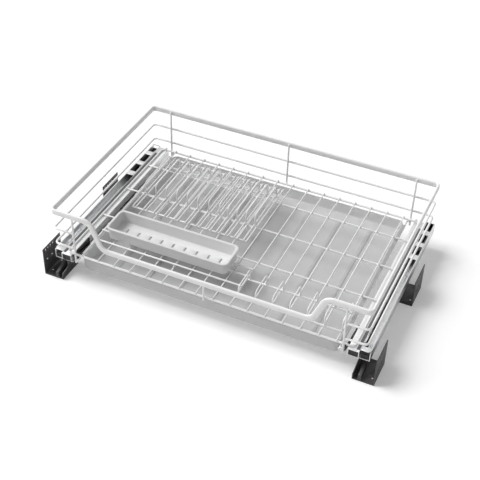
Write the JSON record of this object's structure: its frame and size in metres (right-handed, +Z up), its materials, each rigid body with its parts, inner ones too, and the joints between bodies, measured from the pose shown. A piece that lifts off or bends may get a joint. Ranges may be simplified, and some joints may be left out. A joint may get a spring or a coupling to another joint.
{
  "type": "cabinet dish rack",
  "caption": "Pull-out wire dish basket on soft-close undermount rails and cabinet brackets, with a cutlery tray, a plate rack, a saucer rack and a drip tray.",
  "frame": {"origin": "middle of the rack's box, at the cabinet's floor", "axes": "+X to the rack's right as seen from the front, +Y to the back of the cabinet, +Z up; the basket pulls out along -Y"},
  "size_m": [0.768, 0.4716, 0.183],
  "materials": {
    "basket_coat": "satin white polymer coating on steel wire",
    "insert_coat": "satin white polymer coating on steel wire",
    "bracket_coat": "satin black powder coating",
    "galvanised_sheet": "galvanised and lightly brushed sheet",
    "bright_rail": "bright zinc sheet",
    "ball_steel": "polished steel",
    "screw_steel": "zinc plated",
    "cylinder_metal": "satin",
    "black_plastic": "moulded, fine grain",
    "cage_plastic": "moulded",
    "pale_plastic": "moulded",
    "lever_plastic": "moulded, fine grain",
    "drip_plastic": "translucent grey",
    "tray_plastic": "frosted translucent"
  },
  "bodies": {
    "cabinet_side": {"front_left_bracket": "bracket_coat", "front_right_bracket": "bracket_coat", "rear_left_bracket": "bracket_coat", "rear_right_bracket": "bracket_coat", "rail_screws": "screw_steel", "cabinet_rail_left": "galvanised_sheet", "travel_stop_left": "black_plastic", "soft_close_housing_left": "black_plastic", "soft_close_cylinder_left": "cylinder_metal", "cabinet_rail_right": "galvanised_sheet", "travel_stop_right": "black_plastic", "soft_close_housing_right": "black_plastic", "soft_close_cylinder_right": "cylinder_metal"},
    "basket": {"top_rim": "basket_coat", "upper_side_wire": "basket_coat", "lower_side_wire": "basket_coat", "front_posts": "basket_coat", "back_posts": "basket_coat", "bottom_frame": "basket_coat", "bottom_grid": "basket_coat", "tray_shelf": "basket_coat", "tray_hangers": "basket_coat", "basket_rail_left": "bright_rail", "front_clip_left": "black_plastic", "basket_rail_right": "bright_rail", "front_clip_right": "black_plastic"},
    "middle_left": {"middle_rail_left": "galvanised_sheet"},
    "lower_cage_left": {"lower_ball_cage_left": "cage_plastic", "lower_balls_left": "ball_steel"},
    "upper_cage_left": {"upper_ball_cage_left": "cage_plastic", "upper_balls_left": "ball_steel"},
    "carriage_left": {"soft_close_carriage_left": "pale_plastic"},
    "lever_left": {"release_lever_left": "lever_plastic"},
    "middle_right": {"middle_rail_right": "galvanised_sheet"},
    "lower_cage_right": {"lower_ball_cage_right": "cage_plastic", "lower_balls_right": "ball_steel"},
    "upper_cage_right": {"upper_ball_cage_right": "cage_plastic", "upper_balls_right": "ball_steel"},
    "carriage_right": {"soft_close_carriage_right": "pale_plastic"},
    "lever_right": {"release_lever_right": "lever_plastic"},
    "drip_tray_body": {"drip_tray": "drip_plastic"},
    "cutlery_tray_body": {"cutlery_tray": "tray_plastic"},
    "plate_rack": {"plate_rack_base": "insert_coat", "plate_dividers": "insert_coat"},
    "saucer_rack": {"saucer_rack_base": "insert_coat", "saucer_dividers": "insert_coat"}
  },
  "joints": [
    {"name": "basket_slide", "type": "slide", "parent": "cabinet_side", "child": "basket", "axis": [0, -1, 0], "range_m": [0, 0.4]},
    {"name": "middle_left_slide", "type": "slide", "parent": "cabinet_side", "child": "middle_left", "axis": [0, -1, 0], "range_m": [0, 0.2]},
    {"name": "lower_cage_left_slide", "type": "slide", "parent": "cabinet_side", "child": "lower_cage_left", "axis": [0, -1, 0], "range_m": [0, 0.1]},
    {"name": "upper_cage_left_slide", "type": "slide", "parent": "cabinet_side", "child": "upper_cage_left", "axis": [0, -1, 0], "range_m": [0, 0.3]},
    {"name": "carriage_left_slide", "type": "slide", "parent": "cabinet_side", "child": "carriage_left", "axis": [0, -1, 0], "range_m": [0, 0.04]},
    {"name": "middle_right_slide", "type": "slide", "parent": "cabinet_side", "child": "middle_right", "axis": [0, -1, 0], "range_m": [0, 0.2]},
    {"name": "lower_cage_right_slide", "type": "slide", "parent": "cabinet_side", "child": "lower_cage_right", "axis": [0, -1, 0], "range_m": [0, 0.1]},
    {"name": "upper_cage_right_slide", "type": "slide", "parent": "cabinet_side", "child": "upper_cage_right", "axis": [0, -1, 0], "range_m": [0, 0.3]},
    {"name": "carriage_right_slide", "type": "slide", "parent": "cabinet_side", "child": "carriage_right", "axis": [0, -1, 0], "range_m": [0, 0.04]},
    {"name": "lever_left_hinge", "type": "hinge", "parent": "basket", "child": "lever_left", "pos_m": [-0.312, -0.15975, 0.0485], "axis": [1, 0, 0], "range_deg": [0, 9], "stiffness_Nm_per_rad": 0.35, "springref_deg": -6.88},
    {"name": "lever_right_hinge", "type": "hinge", "parent": "basket", "child": "lever_right", "pos_m": [0.312, -0.15975, 0.0485], "axis": [1, 0, 0], "range_deg": [0, 9], "stiffness_Nm_per_rad": 0.35, "springref_deg": -6.88},
    {"name": "drip_tray_slide", "type": "slide", "parent": "basket", "child": "drip_tray_body", "axis": [0, -1, 0], "range_m": [0, 0.4]},
    {"name": "cutlery_tray_lift", "type": "slide", "parent": "basket", "child": "cutlery_tray_body", "axis": [0, 0, 1], "range_m": [0, 0.12]},
    {"name": "plate_rack_lift", "type": "slide", "parent": "basket", "child": "plate_rack", "axis": [0, 0, 1], "range_m": [0, 0.12]},
    {"name": "saucer_rack_lift", "type": "slide", "parent": "basket", "child": "saucer_rack", "axis": [0, 0, 1], "range_m": [0, 0.12]}
  ],
  "couplings": [
    {"joint": "middle_left_slide", "follows": "basket_slide", "ratio": 0.5},
    {"joint": "lower_cage_left_slide", "follows": "basket_slide", "ratio": 0.25},
    {"joint": "upper_cage_left_slide", "follows": "basket_slide", "ratio": 0.75},
    {"joint": "middle_right_slide", "follows": "basket_slide", "ratio": 0.5},
    {"joint": "lower_cage_right_slide", "follows": "basket_slide", "ratio": 0.25},
    {"joint": "upper_cage_right_slide", "follows": "basket_slide", "ratio": 0.75}
  ]
}
